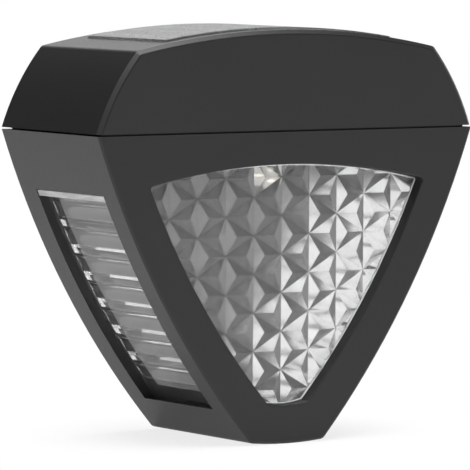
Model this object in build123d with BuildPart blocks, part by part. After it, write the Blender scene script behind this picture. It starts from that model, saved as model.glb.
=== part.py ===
"""Solar wall light: tapered body with three clear lenses, and a lift-off solar cap.

Millimetres. +X right, +Y into the wall, +Z up. The origin is the centre of the
keyhole's entry on the wall face, so everything else lies at negative Y.
"""

import os
from math import hypot, radians, sqrt, tan

from build123d import *

# Outline of the body and the cap, seen from the front
lamp_width = 118.0
lamp_depth = 47.0
body_height = 81.0
body_bulge = 4.7
foot_width = 23.0
foot_bulge = 0.6
foot_radius = 2.2
cap_height = 21.3
cap_bulge = 1.2
shoulder_width = 93.5
shoulder_radius = 2.0
crown_rise = 4.9
cap_bevel = 1.1
cap_bevel_ease = 0.2
body_bevel = 0.5
body_bevel_ease = 0.15
seam_gap = 0.5

# Walls and fits
housing_wall = 1.5
cap_wall = 1.6
lip_clearance = 0.3
seat_clearance = 0.15
slide_clearance = 0.25
inner_corner = 0.4

# Front window and its star lens
window_width = 86.3
window_top = 13.5
window_top_bulge = 4.8
window_foot_width = 13.0
window_foot = 70.8
window_foot_bulge = 0.8
window_side_bulge = 2.8
window_reveal = 3.7
window_edge_radius = 0.3
window_corner = 0.8
collar_wall = 1.5
lens_flange = 1.8
lens_thickness = 1.8
star_pitch = 10.1
star_drop = 22.2
star_relief = 1.0
star_base = 0.4

# Side windows and their ribbed lenses
side_window_from_front = 7.0
side_window_back = 7.5
side_window_room = 0.4
side_window_foot = 72.3
side_reveal = 2.6
rib_count = 7
rib_pitch = 7.2
rib_thickness = 2.3
rib_height = 3.2
pane_crown = 0.3
bar_thickness = 1.5
bar_sink = 0.2
side_lens_thickness = 1.8
lens_bond = 0.1

# Back cover and keyhole
cover_thickness = 2.0
cover_ledge = 2.0
cover_ledge_thickness = 1.5
keyhole_radius = 4.25
keyhole_slot_width = 4.4
keyhole_slot_length = 8.5
pocket_depth = 4.6
pocket_wall = 1.4
pocket_room = 2.0

# Cap tray
tray_drop = 6.5
tray_rise = 3.0
tray_wall = 1.5
tray_floor = 1.8
rest_width = 7.0
rest_depth = 2.4
rest_height = 3.0
front_rest_x = 30.0

# Solar panel
panel_length = 72.0
panel_width = 37.0
panel_corner = 1.2
panel_proud = 0.55
bed_thickness = 0.6
board_thickness = 1.6
cell_thickness = 0.3
cover_resin = 1.05
cover_bevel = 0.2
cell_count = 4
cell_gap = 0.7
cell_border = 1.6
pocket_floor = 1.8

# Screws and bosses
screw_radius = 1.4
screw_head_radius = 2.7
screw_head_height = 1.7
screw_bite = 8.0
boss_radius = 3.0
boss_wall_overlap = 0.2
pilot_clearance = 0.05
countersink_angle = 90.0
cross_reach = 0.6
cross_width = 0.7
cross_depth = 0.8
boss_floor = 2.0
cover_boss_radius = 3.3
cover_boss_room = 0.5
cover_screw_radius = 1.2
cover_screw_head = 2.2
tray_screw_x = 41.0
tray_screw_inset = 7.5

# Circuit board and what it carries
circuit_length = 38.0
circuit_width = 16.0
circuit_thickness = 1.2
circuit_lift = 3.6
circuit_from_front = 4.6
standoff_radius = 2.2
board_screw_radius = 0.9
board_screw_head_radius = 1.8
board_screw_head_height = 1.2
board_screw_x = 16.0
board_screw_y = 5.5
chip_length = 4.2
chip_width = 3.2
chip_height = 1.5
chip_bevel = 0.3
inductor_radius = 1.5
inductor_length = 7.0
inductor_end_radius = 0.5
chip_x = 9.0
inductor_x = -9.0

# Light-emitting diode
led_radius = 2.5
led_flange_radius = 2.9
led_flange = 1.0
led_length = 7.7
led_from_front = 11.5
led_well_drop = 2.5
led_well_radius = 4.6
led_lead_radius = 0.28
led_lead_spread = 1.27
led_lead_stub = 1.0

# Slide switch
switch_x = 28.0
switch_from_front = 12.5
switch_length = 9.0
switch_width = 5.0
switch_height = 3.8
switch_travel = 2.0
slider_plate_length = 3.4
slider_plate_width = 2.8
slider_plate_height = 1.2
knob_length = 1.8
knob_width = 1.5
knob_reach = 1.6
knob_edge_radius = 0.25

# Battery and contacts
cell_radius = 7.25
cell_length = 49.2
cell_nub_radius = 2.75
cell_nub_height = 1.2
cell_edge_radius = 0.6
battery_from_wall = 14.0
contact_thickness = 0.4
contact_width = 8.0
contact_height = 11.0
leaf_spring = 2.4
leaf_lift = 0.8
saddle_thickness = 2.0
saddle_height = 5.0
saddle_spread = 30.0
stop_thickness = 1.8

# Inside wires
wire_radius = 0.6
wire_spread = 1.6
wire_hole_width = 7.0
wire_hole_depth = 3.0
wire_hole_from_front = 15.0
wire_bend = 2.0
panel_pad_x = 5.0
panel_pad_back = 6.0
panel_wire_high = 12.0
panel_wire_low = 6.0
battery_pad_x = 12.5
battery_pad_inset = 1.5
battery_wire_rise = 5.0

# The keyhole hangs as far below the seam as its pocket needs to clear the cap's tray
pocket_half = keyhole_radius + slide_clearance
pocket_high = keyhole_slot_length + pocket_half
keyhole_drop = tray_drop + pocket_room + pocket_wall + pocket_high

# Heights and places that follow from the sizes above
seam_z = keyhole_drop
half_width = lamp_width / 2
foot_z = seam_z - body_height
body_top = seam_z - seam_gap / 2
cap_foot = seam_z + seam_gap / 2
shoulder_z = seam_z + cap_height
crown_z = shoulder_z + crown_rise
front_inner = lamp_depth - housing_wall
side_window_front = lamp_depth - side_window_from_front
circuit_front = lamp_depth - circuit_from_front
led_from_wall = lamp_depth - led_from_front
switch_from_wall = lamp_depth - switch_from_front
wire_hole_from_wall = lamp_depth - wire_hole_from_front
overshoot = 20.0


def circle_through(first, last, bulge):
    """Centre and radius of the circle through two points that bows out to the right of the
    way from the first to the last by bulge."""
    chord_x, chord_z = last[0] - first[0], last[1] - first[1]
    chord = hypot(chord_x, chord_z)
    radius = (chord * chord / 4 + bulge * bulge) / (2 * bulge)
    shift = (radius - bulge) / chord
    centre_x = (first[0] + last[0]) / 2 - chord_z * shift
    centre_z = (first[1] + last[1]) / 2 + chord_x * shift
    return (centre_x, centre_z), radius


def half_width_at(circle, z, inset=0.0):
    """Half width at a height inside a right-hand side circle drawn in by inset."""
    (centre_x, centre_z), radius = circle
    return centre_x + sqrt((radius - inset) ** 2 - (z - centre_z) ** 2)


# The body's side runs down to the foot, the cap's side runs up to the shoulder
body_side = circle_through((foot_width / 2, foot_z), (half_width, seam_z), body_bulge)
body_foot = circle_through((-foot_width / 2, foot_z), (foot_width / 2, foot_z), foot_bulge)
cap_side = circle_through((half_width, seam_z), (shoulder_width / 2, shoulder_z), cap_bulge)
crown = circle_through((shoulder_width / 2, shoulder_z), (-shoulder_width / 2, shoulder_z), crown_rise)


def crown_height_at(x):
    """Height of the cap's arched top at a distance from the middle."""
    (_, centre_z), radius = crown
    return centre_z + sqrt(radius**2 - x**2)


def common_area(low, high, circles, inset):
    """Draws the area between two heights that all the circles share, each drawn in by inset.
    Called inside a sketch; a circle off the middle is used with its mirror image too."""
    with Locations((0, (low + high) / 2)):
        Rectangle(lamp_width + overshoot, high - low)
    for (centre_x, centre_z), radius in circles:
        for place_x in {centre_x, -centre_x}:
            with Locations((place_x, centre_z)):
                Circle(radius - inset, mode=Mode.INTERSECT)


def body_outline(inset=0.0, low=None, high=body_top):
    """Front outline of the tapered body, drawn in by inset, between two heights."""
    bottom = foot_z - overshoot if low is None else low
    with BuildSketch(Plane.XZ) as outline:
        common_area(bottom, high, [body_side, body_foot], inset)
        if low is None:
            corners = outline.vertices().group_by(Axis.Y)[0]
            fillet(corners, max(foot_radius - inset, inner_corner))
    return outline.sketch


def cap_outline(inset=0.0, low=cap_foot, high=None):
    """Front outline of the cap, drawn in by inset, between two heights."""
    top = crown_z + overshoot if high is None else high
    with BuildSketch(Plane.XZ) as outline:
        common_area(low, top, [cap_side, crown], inset)
        if high is None:
            corners = outline.vertices().group_by(Axis.Y)[-1]
            fillet(corners, shoulder_radius)
    return outline.sketch


def window_outline(inset=0.0):
    """Front window's outline, drawn in by inset, or out where inset is negative."""
    top_z, low_z = seam_z - window_top, seam_z - window_foot
    top_x, low_x = window_width / 2, window_foot_width / 2
    side = circle_through((low_x, low_z), (top_x, top_z), window_side_bulge)
    top = circle_through((top_x, top_z), (-top_x, top_z), window_top_bulge)
    low = circle_through((-low_x, low_z), (low_x, low_z), window_foot_bulge)
    waist_z = low_z + low_x
    with BuildSketch(Plane.XZ) as lower:
        common_area(low_z - overshoot, waist_z, [side, low], inset)
    with BuildSketch(Plane.XZ) as outline:
        common_area(waist_z, top_z + overshoot, [side, top], inset)
        add(lower.sketch)
        fillet(outline.vertices(), max(window_corner - inset, inner_corner))
    return outline.sketch


def from_front(sketch, start, end, mode=Mode.ADD):
    """Extrudes a front-view sketch from one distance off the wall to another."""
    extrude(sketch.moved(Location((0, -start, 0))), amount=end - start, dir=(0, -1, 0), mode=mode)


def side_band(outer_inset, inner_inset, low, high):
    """Strip along the body's side walls between two insets and two heights, both sides."""
    return body_outline(outer_inset, low, high) - body_outline(inner_inset, low, high)


def off_the_side(z, inset, outward):
    """Point off the right-hand side: from the side drawn in by inset at a height, outward and
    square to it, as X and Z."""
    (centre_x, centre_z), radius = body_side
    stretch = (radius - inset + outward) / (radius - inset)
    x = half_width_at(body_side, z, inset)
    return centre_x + (x - centre_x) * stretch, centre_z + (z - centre_z) * stretch


def cross_recess(head, face_z, inward):
    """Cuts a cross into a screw head's end face, inward along Z from the face."""
    reach = head * cross_reach
    with Locations((0, 0, face_z + inward * cross_depth / 2)):
        Box(2 * reach, cross_width, cross_depth, mode=Mode.SUBTRACT)
        Box(cross_width, 2 * reach, cross_depth, mode=Mode.SUBTRACT)


def pan_head_screw(shank, bite, head, head_height):
    """Pan-head screw, head down, with the underside of its head at the origin."""
    with BuildPart() as screw:
        Cylinder(head, head_height, align=(Align.CENTER, Align.CENTER, Align.MAX))
        fillet(screw.edges().group_by(Axis.Z)[0], head_height / 2)
        Cylinder(shank, bite, align=(Align.CENTER, Align.CENTER, Align.MIN))
        cross_recess(head, -head_height, 1)
    return screw.part


def countersunk_screw(shank, bite, head):
    """Countersunk screw along -Y, with the top of its head on the wall face."""
    with BuildPart() as screw:
        with BuildSketch(Plane.XY):
            with BuildLine():
                Polyline(
                    (0, 0),
                    (head, 0),
                    (shank, -(head - shank) / tan(radians(countersink_angle / 2))),
                    (shank, -bite),
                    (0, -bite),
                    close=True,
                )
            make_face()
        revolve(axis=Axis.Y)
    with BuildPart() as crossed:
        add(screw.part, rotation=(-90, 0, 0))
        cross_recess(head, 0, -1)
    return crossed.part.rotate(Axis.X, 90)


# Shared seats
star_valley = lamp_depth - window_reveal
star_peak = star_valley + star_relief
lens_seat = star_valley - star_base
tray_foot = seam_z - tray_drop
tray_top = seam_z + tray_rise
tray_deck = tray_foot + tray_floor
lip_inset = housing_wall + lip_clearance
lip_back = cover_thickness + lip_clearance
skirt_inset = cap_wall + seat_clearance
side_low = seam_z - side_window_foot
side_middle = (side_window_front + side_window_back) / 2
side_seat = side_reveal + lens_bond
ledge_top = tray_foot - rest_height

# Screw places of the back cover: two by the side walls just under the tray, one above the foot
cover_screw_z = tray_foot - cover_boss_room - cover_boss_radius
cover_boss_inset = cover_boss_radius - boss_wall_overlap
cover_screw_x = half_width_at(body_side, cover_screw_z, housing_wall + cover_boss_inset)
foot_screw_z = foot_z - foot_bulge + housing_wall + cover_boss_inset
cover_screws = [(cover_screw_x, cover_screw_z), (-cover_screw_x, cover_screw_z), (0, foot_screw_z)]
cover_boss_length = screw_bite + boss_floor

# The side windows start under the upper bosses
side_high = cover_screw_z - cover_boss_radius - side_window_room - lens_flange

# Moulded body, open at the top and the back
with BuildPart() as lamp_housing:
    from_front(body_outline(), 0, lamp_depth)
    front_edges = lamp_housing.faces().sort_by(Axis.Y)[0].edges().sort_by(Axis.Z)[:-1]
    chamfer(front_edges, body_bevel)
    front_rim, _, back_rim = lamp_housing.edges().group_by(Axis.Y)[:3]
    chamfer(front_rim.sort_by(Axis.Z)[:-1] + back_rim, body_bevel_ease)
    from_front(body_outline(housing_wall, high=seam_z), 0, front_inner, Mode.SUBTRACT)
    # Collars that the three lenses seat on
    from_front(window_outline(-collar_wall), lens_seat, front_inner)
    from_front(
        side_band(housing_wall / 2, side_reveal, side_low - collar_wall, side_high + collar_wall),
        side_window_back - collar_wall,
        side_window_front + collar_wall,
    )
    # Rests that carry the cap's tray, on the front wall and on both side walls
    with BuildSketch(Plane.XZ.offset(front_inner - rest_depth)):
        with Locations((0, tray_foot - rest_height / 2)):
            with GridLocations(2 * front_rest_x, 0, 2, 1):
                Rectangle(rest_width, rest_height)
    extrude(amount=rest_depth)
    from_front(
        side_band(housing_wall / 2, housing_wall + rest_depth, ledge_top, tray_foot),
        side_middle - rest_width / 2,
        side_middle + rest_width / 2,
    )
    # Ledge and bosses that the back cover is screwed to
    from_front(
        side_band(housing_wall / 2, housing_wall + cover_ledge, None, ledge_top),
        cover_thickness,
        cover_thickness + cover_ledge_thickness,
    )
    with BuildSketch(Plane.XZ.offset(cover_thickness)):
        with Locations(*cover_screws):
            Circle(cover_boss_radius)
    extrude(amount=cover_boss_length)
    with BuildSketch(Plane.XZ.offset(cover_thickness)):
        with Locations(*cover_screws):
            Circle(cover_screw_radius + pilot_clearance)
    extrude(amount=screw_bite, mode=Mode.SUBTRACT)
    # Windows, each cut straight through wall and collar
    from_front(window_outline(), lens_seat, lamp_depth, Mode.SUBTRACT)
    window_edges = lamp_housing.faces().sort_by(Axis.Y)[0].inner_wires().edges()
    fillet(window_edges, window_edge_radius)
    with Locations((0, -side_middle, (side_low + side_high) / 2)):
        Box(
            lamp_width,
            side_window_front - side_window_back,
            side_high - side_low,
            mode=Mode.SUBTRACT,
        )


def star_block(columns, rows, rows_above):
    """Closed block whose front is a lattice of equal triangles, each raised to a peak over its
    middle, so that six rhombs meet in a star at every lattice point."""
    column_pitch = star_pitch * sqrt(3) / 2

    def lattice_point(column, row):
        x = (column - columns // 2) * column_pitch
        half_step = 0.5 if (column - columns // 2) % 2 else 0.0
        z = seam_z - star_drop + (row - rows + half_step + rows_above) * star_pitch
        return Vector(x, -star_valley, z)

    def pyramid(corners):
        peak = (corners[0] + corners[1] + corners[2]) / 3 - Vector(0, star_relief, 0)
        pairs = zip(corners, corners[1:] + corners[:1])
        return [Face(Wire.make_polygon([first, last, peak])) for first, last in pairs]

    facets = []
    for column in range(columns):
        shifted = (column - columns // 2) % 2
        for row in range(rows):
            left = [lattice_point(column, row), lattice_point(column, row + 1)]
            right = [lattice_point(column + 1, row), lattice_point(column + 1, row + 1)]
            facets += pyramid([left[0], left[1], right[1 if shifted else 0]])
            facets += pyramid([right[0], right[1], left[0 if shifted else 1]])
    rim = [lattice_point(column, 0) for column in range(columns)]
    rim += [lattice_point(columns, row) for row in range(rows)]
    rim += [lattice_point(column, rows) for column in range(columns, 0, -1)]
    rim += [lattice_point(0, row) for row in range(rows, 0, -1)]
    sink = Vector(0, star_base, 0)
    for first, last in zip(rim, rim[1:] + rim[:1]):
        facets.append(Face(Wire.make_polygon([first, last, last + sink, first + sink])))
    facets.append(Face(Wire.make_polygon([point + sink for point in rim])))
    return Solid(Shell(facets))


# Star lens: a faceted pad that fills the window, on a plain flange behind its collar
star_columns = 2 * round(window_width / 2 / (star_pitch * sqrt(3) / 2) + 1)
star_rows_above = round((star_drop - window_top + window_top_bulge) / star_pitch + 1)
star_rows = star_rows_above + round((window_foot - star_drop + window_foot_bulge) / star_pitch + 1)
with BuildPart() as star_pad:
    add(star_block(star_columns, star_rows, star_rows_above))
    from_front(window_outline(seat_clearance), lens_seat, star_peak, Mode.INTERSECT)
with BuildPart() as front_lens:
    from_front(window_outline(-lens_flange), lens_seat - lens_thickness, lens_seat)
    add(star_pad.part)

# Right-hand lens: a smooth plate with ribs and slightly crowned panes on its inside, and a bar along its top
bar_top = side_high - seat_clearance
bar_middle = bar_top - bar_thickness / 2
rib_heights = [bar_middle - number * rib_pitch for number in range(1, rib_count + 1)]
pane_chord = rib_pitch - rib_thickness
pane_radius = (pane_chord**2 / 4 + pane_crown**2) / (2 * pane_crown)
plate_middle = side_seat + side_lens_thickness / 2
plate_inside = side_seat + side_lens_thickness
rib_crest = plate_inside + rib_height


def lens_strip(outer_inset, inner_inset, low, high):
    """Adds a strip along the side walls that fills the window from front to back."""
    from_front(
        side_band(outer_inset, inner_inset, low, high),
        side_window_back + seat_clearance,
        side_window_front - seat_clearance,
    )


def crowned_pane(middle_z):
    """Front-view sketch of one pane's crown, bowed into the lamp about a height."""
    band = side_band(
        plate_middle,
        plate_inside + 2 * pane_crown,
        middle_z - rib_pitch / 2,
        middle_z + rib_pitch / 2,
    )
    with BuildSketch(Plane.XZ) as crowned:
        add(band)
        with Locations(off_the_side(middle_z, plate_inside, pane_radius - pane_crown)):
            Circle(pane_radius, mode=Mode.INTERSECT)
    return crowned.sketch


with BuildPart() as right_lens:
    from_front(
        side_band(
            side_seat,
            plate_inside,
            side_low - lens_flange,
            side_high + lens_flange,
        ),
        side_window_back - lens_flange,
        side_window_front + lens_flange,
    )
    for height in rib_heights:
        lens_strip(plate_middle, rib_crest, height - rib_thickness / 2, height + rib_thickness / 2)
        from_front(
            crowned_pane(height + rib_pitch / 2),
            side_window_back + seat_clearance,
            side_window_front - seat_clearance,
        )
    lens_strip(bar_sink, rib_crest, bar_top - bar_thickness, bar_top)
    split(bisect_by=Plane.YZ, keep=Keep.TOP)
with BuildPart() as left_lens:
    mirror(right_lens.part, about=Plane.YZ)

# Back cover, with a keyhole that opens into a closed pocket
pocket_middle = (pocket_high - pocket_half) / 2
with BuildPart() as back_cover:
    from_front(body_outline(housing_wall + seat_clearance), 0, cover_thickness)
    with BuildSketch(Plane.XZ.offset(cover_thickness)):
        with Locations((0, pocket_middle)):
            Rectangle(2 * (pocket_half + pocket_wall), pocket_high + pocket_half + 2 * pocket_wall)
    extrude(amount=pocket_depth + pocket_wall)
    with BuildSketch(Plane.XZ.offset(cover_thickness)):
        with Locations((0, pocket_middle)):
            Rectangle(2 * pocket_half, pocket_high + pocket_half)
    extrude(amount=pocket_depth, mode=Mode.SUBTRACT)
    with BuildSketch(Plane.XZ):
        Circle(keyhole_radius)
        with Locations((0, keyhole_slot_length / 2)):
            Rectangle(keyhole_slot_width, keyhole_slot_length)
        with Locations((0, keyhole_slot_length)):
            Circle(keyhole_slot_width / 2)
    extrude(amount=cover_thickness, mode=Mode.SUBTRACT)
    with Locations(*[Plane((x, 0, z), x_dir=(1, 0, 0), z_dir=(0, 1, 0)) for x, z in cover_screws]):
        CounterSinkHole(
            cover_screw_radius + pilot_clearance,
            cover_screw_head + pilot_clearance,
            depth=cover_thickness,
            counter_sink_angle=countersink_angle,
        )

with BuildPart() as back_screws:
    with Locations(*[(x, 0, z) for x, z in cover_screws]):
        add(countersunk_screw(cover_screw_radius, cover_thickness + screw_bite, cover_screw_head))

# Heights of the solar panel's layers, from the arched top down
panel_crown = crown_z + panel_proud
cells_top = crown_height_at(panel_length / 2) - cover_resin
board_top = cells_top - cell_thickness
board_foot = board_top - board_thickness
panel_seat = board_foot - bed_thickness
ceiling_z = panel_seat - pocket_floor
panel_middle = (0, -lamp_depth / 2)
on_top = (Align.CENTER, Align.CENTER, Align.MIN)


def panel_slab(foot, top, margin=0.0, mode=Mode.ADD):
    """Extrudes the panel's rounded outline, grown by margin, from one height to another."""
    with BuildSketch(Plane.XY.offset(foot)) as outline:
        with Locations(panel_middle):
            RectangleRounded(panel_length + 2 * margin, panel_width + 2 * margin, panel_corner + margin)
    extrude(outline.sketch, amount=top - foot, mode=mode)


# Places on the tray
tray_screw_span = lamp_depth - 2 * tray_screw_inset
circuit_middle = circuit_front - circuit_width / 2
circuit_foot = tray_deck + circuit_lift
circuit_top = circuit_foot + circuit_thickness
led_seat = tray_deck - led_well_drop
led_tip = led_seat - led_length
led_shoulder = led_tip + led_radius
cell_axis_z = tray_deck + seat_clearance + cell_radius
plus_end = cell_length / 2 + cell_nub_height
minus_end = -cell_length / 2 - leaf_spring
slot_middle = switch_x + switch_travel / 2

# Moulded cap with the panel's pocket in its arched top
with BuildPart() as cap_shell:
    from_front(cap_outline(), 0, lamp_depth)
    bevel_edges = cap_shell.faces().sort_by(Axis.Y)[0].edges().sort_by(Axis.Z)[1:]
    chamfer(bevel_edges, cap_bevel)
    front_rim, _, back_rim = cap_shell.edges().group_by(Axis.Y)[:3]
    chamfer(front_rim.sort_by(Axis.Z)[1:] + back_rim, cap_bevel_ease)
    from_front(cap_outline(cap_wall, seam_z, ceiling_z), cap_wall, lamp_depth - cap_wall, Mode.SUBTRACT)
    panel_slab(panel_seat, panel_crown, slide_clearance, Mode.SUBTRACT)
    with Locations((0, -wire_hole_from_wall, ceiling_z)):
        Box(wire_hole_width, wire_hole_depth, pocket_floor, align=on_top, mode=Mode.SUBTRACT)
    # Long bosses that the tray's screws bite into
    with BuildSketch(Plane.XY.offset(tray_deck)):
        with Locations(panel_middle):
            with GridLocations(2 * tray_screw_x, tray_screw_span, 2, 2):
                Circle(boss_radius)
    extrude(amount=ceiling_z - tray_deck)
    with BuildSketch(Plane.XY.offset(tray_deck)):
        with Locations(panel_middle):
            with GridLocations(2 * tray_screw_x, tray_screw_span, 2, 2):
                Circle(screw_radius + pilot_clearance)
    extrude(amount=screw_bite, mode=Mode.SUBTRACT)

# Solar panel: tape, board, strips of silicon and clear resin that stands proud of the arched top
with BuildPart() as panel_bed:
    panel_slab(panel_seat, board_foot)
    with Locations((0, -wire_hole_from_wall, panel_seat)):
        Box(wire_hole_width, wire_hole_depth, bed_thickness, align=on_top, mode=Mode.SUBTRACT)

with BuildPart() as panel_board:
    panel_slab(board_foot, board_top)

cell_step = (panel_length - 2 * cell_border + cell_gap) / cell_count
with BuildPart() as solar_cells:
    with Locations((*panel_middle, board_top)):
        with GridLocations(cell_step, 0, cell_count, 1):
            Box(cell_step - cell_gap, panel_width - 2 * cell_border, cell_thickness, align=on_top)

with BuildSketch(Plane.XZ) as resin_arch:
    common_area(board_top, panel_crown, [crown], -panel_proud)
with BuildPart() as panel_cover:
    panel_slab(board_top, panel_crown)
    from_front(resin_arch.sketch, 0, lamp_depth, Mode.INTERSECT)
    chamfer(panel_cover.faces().sort_by(Axis.Z)[-1].edges(), cover_bevel)
    add(solar_cells.part, mode=Mode.SUBTRACT)

# Tray: a pan that closes the cap and whose rim is the lip in the seam
with BuildPart() as cap_tray:
    from_front(body_outline(lip_inset, tray_foot, seam_z), lip_back, lamp_depth - lip_inset)
    from_front(cap_outline(skirt_inset, seam_z, tray_top), skirt_inset, lamp_depth - skirt_inset)
    from_front(
        body_outline(lip_inset + tray_wall, tray_deck, seam_z),
        lip_back + tray_wall,
        lamp_depth - lip_inset - tray_wall,
        Mode.SUBTRACT,
    )
    from_front(
        cap_outline(skirt_inset + tray_wall, seam_z, tray_top),
        lip_back + tray_wall,
        lamp_depth - skirt_inset - tray_wall,
        Mode.SUBTRACT,
    )
    # Saddles and end stops for the battery
    with Locations((0, -battery_from_wall, tray_deck)):
        with GridLocations(saddle_spread, 0, 2, 1):
            Box(saddle_thickness, 2 * cell_radius, saddle_height, align=on_top)
        with Locations((plus_end + contact_thickness + stop_thickness / 2, 0)):
            Box(stop_thickness, contact_width, contact_height, align=on_top)
        with Locations((minus_end - contact_thickness - stop_thickness / 2, 0)):
            Box(stop_thickness, contact_width, contact_height, align=on_top)
    with BuildSketch(Plane.YZ.offset(-cell_length / 2)):
        with Locations((-battery_from_wall, cell_axis_z)):
            Circle(cell_radius + seat_clearance)
    extrude(amount=cell_length, mode=Mode.SUBTRACT)
    # Posts under the circuit board
    with BuildSketch(Plane.XY.offset(tray_deck)):
        with Locations((0, -circuit_middle)):
            with GridLocations(2 * board_screw_x, 2 * board_screw_y, 2, 2):
                Circle(standoff_radius)
    extrude(amount=circuit_lift)
    with BuildSketch(Plane.XY.offset(circuit_foot)):
        with Locations((0, -circuit_middle)):
            with GridLocations(2 * board_screw_x, 2 * board_screw_y, 2, 2):
                Circle(board_screw_radius + pilot_clearance)
    extrude(amount=-circuit_lift, mode=Mode.SUBTRACT)
    # Well that the diode drops into, its hole, and the switch's slot
    with BuildSketch(Plane.XY.offset(tray_foot - led_well_drop)):
        with Locations((0, -led_from_wall)):
            Circle(led_well_radius)
    extrude(amount=led_well_drop)
    with Locations((0, -led_from_wall, tray_deck)):
        CounterBoreHole(
            led_radius + seat_clearance,
            led_flange_radius + seat_clearance,
            led_well_drop,
            depth=tray_floor + led_well_drop,
        )
    with Locations((slot_middle, -switch_from_wall, tray_foot)):
        Box(
            knob_length + switch_travel + 2 * slide_clearance,
            knob_width + 2 * slide_clearance,
            tray_floor,
            align=on_top,
            mode=Mode.SUBTRACT,
        )
    with Locations((*panel_middle, tray_deck)):
        with GridLocations(2 * tray_screw_x, tray_screw_span, 2, 2):
            Hole(screw_radius + seat_clearance, depth=tray_floor)

with BuildPart() as tray_screws:
    with Locations((*panel_middle, tray_foot)):
        with GridLocations(2 * tray_screw_x, tray_screw_span, 2, 2):
            add(
                pan_head_screw(
                    screw_radius,
                    tray_floor + screw_bite,
                    screw_head_radius,
                    screw_head_height,
                )
            )

# Circuit board on its posts, with the driver and the inductor
with BuildPart() as circuit_board:
    with Locations((0, -circuit_middle, circuit_foot)):
        Box(circuit_length, circuit_width, circuit_thickness, align=on_top)
    with Locations((0, -circuit_middle, circuit_top)):
        with GridLocations(2 * board_screw_x, 2 * board_screw_y, 2, 2):
            Hole(board_screw_radius + seat_clearance, depth=circuit_thickness)
    with Locations((0, -led_from_wall, circuit_top)):
        with GridLocations(2 * led_lead_spread, 0, 2, 1):
            Hole(led_lead_radius + pilot_clearance, depth=circuit_thickness)

with BuildPart() as board_screws:
    with Locations((0, -circuit_middle, circuit_top)):
        with GridLocations(2 * board_screw_x, 2 * board_screw_y, 2, 2):
            add(
                pan_head_screw(
                    board_screw_radius,
                    circuit_thickness + circuit_lift,
                    board_screw_head_radius,
                    board_screw_head_height,
                ).rotate(Axis.X, 180)
            )

with BuildPart() as driver_chip:
    with Locations((chip_x, -circuit_middle, circuit_top)):
        Box(chip_length, chip_width, chip_height, align=on_top)
    chamfer(driver_chip.edges().group_by(Axis.Z)[-1], chip_bevel)

with BuildPart() as inductor:
    with BuildSketch(Plane.YZ.offset(inductor_x - inductor_length / 2)):
        with Locations((-circuit_middle, circuit_top + inductor_radius)):
            Circle(inductor_radius)
    extrude(amount=inductor_length)
    fillet(inductor.edges(), inductor_end_radius)

# Diode with a domed end, flange up, and its two legs
with BuildPart() as led_lamp:
    with BuildSketch(Plane.XZ.offset(led_from_wall)):
        with BuildLine():
            Polyline(
                (0, led_seat + led_flange),
                (led_flange_radius, led_seat + led_flange),
                (led_flange_radius, led_seat),
                (led_radius, led_seat),
                (led_radius, led_shoulder),
            )
            RadiusArc((led_radius, led_shoulder), (0, led_tip), led_radius)
            Line((0, led_tip), (0, led_seat + led_flange))
        make_face()
    revolve(axis=Axis((0, -led_from_wall, 0), (0, 0, 1)))

led_lead_length = circuit_top + led_lead_stub - led_seat - led_flange
with BuildPart() as led_leads:
    with Locations((0, -led_from_wall, led_seat + led_flange)):
        with GridLocations(2 * led_lead_spread, 0, 2, 1):
            Cylinder(led_lead_radius, led_lead_length, align=on_top)

# Slide switch: a case on the tray's deck, and the knob that pokes through its slot
with BuildPart() as switch_case:
    with Locations((slot_middle, -switch_from_wall, tray_deck)):
        Box(switch_length, switch_width, switch_height, align=on_top)
        Box(
            slider_plate_length + switch_travel + 2 * slide_clearance,
            slider_plate_width + 2 * slide_clearance,
            slider_plate_height + 2 * slide_clearance,
            align=on_top,
            mode=Mode.SUBTRACT,
        )

knob_height = tray_floor + knob_reach + slide_clearance
with BuildPart() as switch_slider:
    with Locations((switch_x, -switch_from_wall, tray_deck + slide_clearance)):
        Box(slider_plate_length, slider_plate_width, slider_plate_height, align=on_top)
        Box(knob_length, knob_width, knob_height, align=(Align.CENTER, Align.CENTER, Align.MAX))
    fillet(switch_slider.edges().group_by(Axis.Z)[0], knob_edge_radius)

# Battery and its two contacts
with BuildPart() as battery_cell:
    with BuildSketch(Plane.YZ.offset(-cell_length / 2)):
        with Locations((-battery_from_wall, cell_axis_z)):
            Circle(cell_radius)
    extrude(amount=cell_length)
    fillet(battery_cell.edges(), cell_edge_radius)
    with BuildSketch(Plane.YZ.offset(cell_length / 2)):
        with Locations((-battery_from_wall, cell_axis_z)):
            Circle(cell_nub_radius)
    extrude(amount=cell_nub_height)

with BuildPart() as contact_plate:
    with Locations((plus_end + contact_thickness / 2, -battery_from_wall, tray_deck)):
        Box(contact_thickness, contact_width, contact_height, align=on_top)

with BuildPart() as contact_leaf:
    with BuildSketch(Plane.XZ.offset(battery_from_wall)):
        with BuildLine():
            leaf_back = minus_end - contact_thickness / 2
            leaf_tip = -cell_length / 2 - contact_thickness
            leaf_foot = tray_deck + leaf_lift
            Polyline(
                (leaf_back, tray_deck + contact_height),
                (leaf_back, leaf_foot),
                (leaf_back + leaf_spring / 2, leaf_foot),
                (leaf_tip, cell_axis_z),
            )
        trace(line_width=contact_thickness)
    extrude(amount=contact_width / 2, both=True)


def wire(points):
    """Insulated wire along straight runs with rounded turns."""
    with BuildPart() as insulated:
        with BuildLine() as route:
            FilletPolyline(*points, radius=wire_bend)
        with BuildSketch(Plane(origin=route.line @ 0, z_dir=route.line % 0)):
            Circle(wire_radius)
        sweep()
    return insulated.part


def panel_wire(side):
    """Wire from the panel's underside, through the pocket's floor, down to the circuit board."""
    start_x, pad_x = side * wire_spread, side * panel_pad_x
    pad_y = -circuit_middle + panel_pad_back
    return wire(
        [
            (start_x, -wire_hole_from_wall, board_foot),
            (start_x, -wire_hole_from_wall, circuit_top + panel_wire_high),
            (pad_x, pad_y, circuit_top + panel_wire_low),
            (pad_x, pad_y, circuit_top),
        ]
    )


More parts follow.
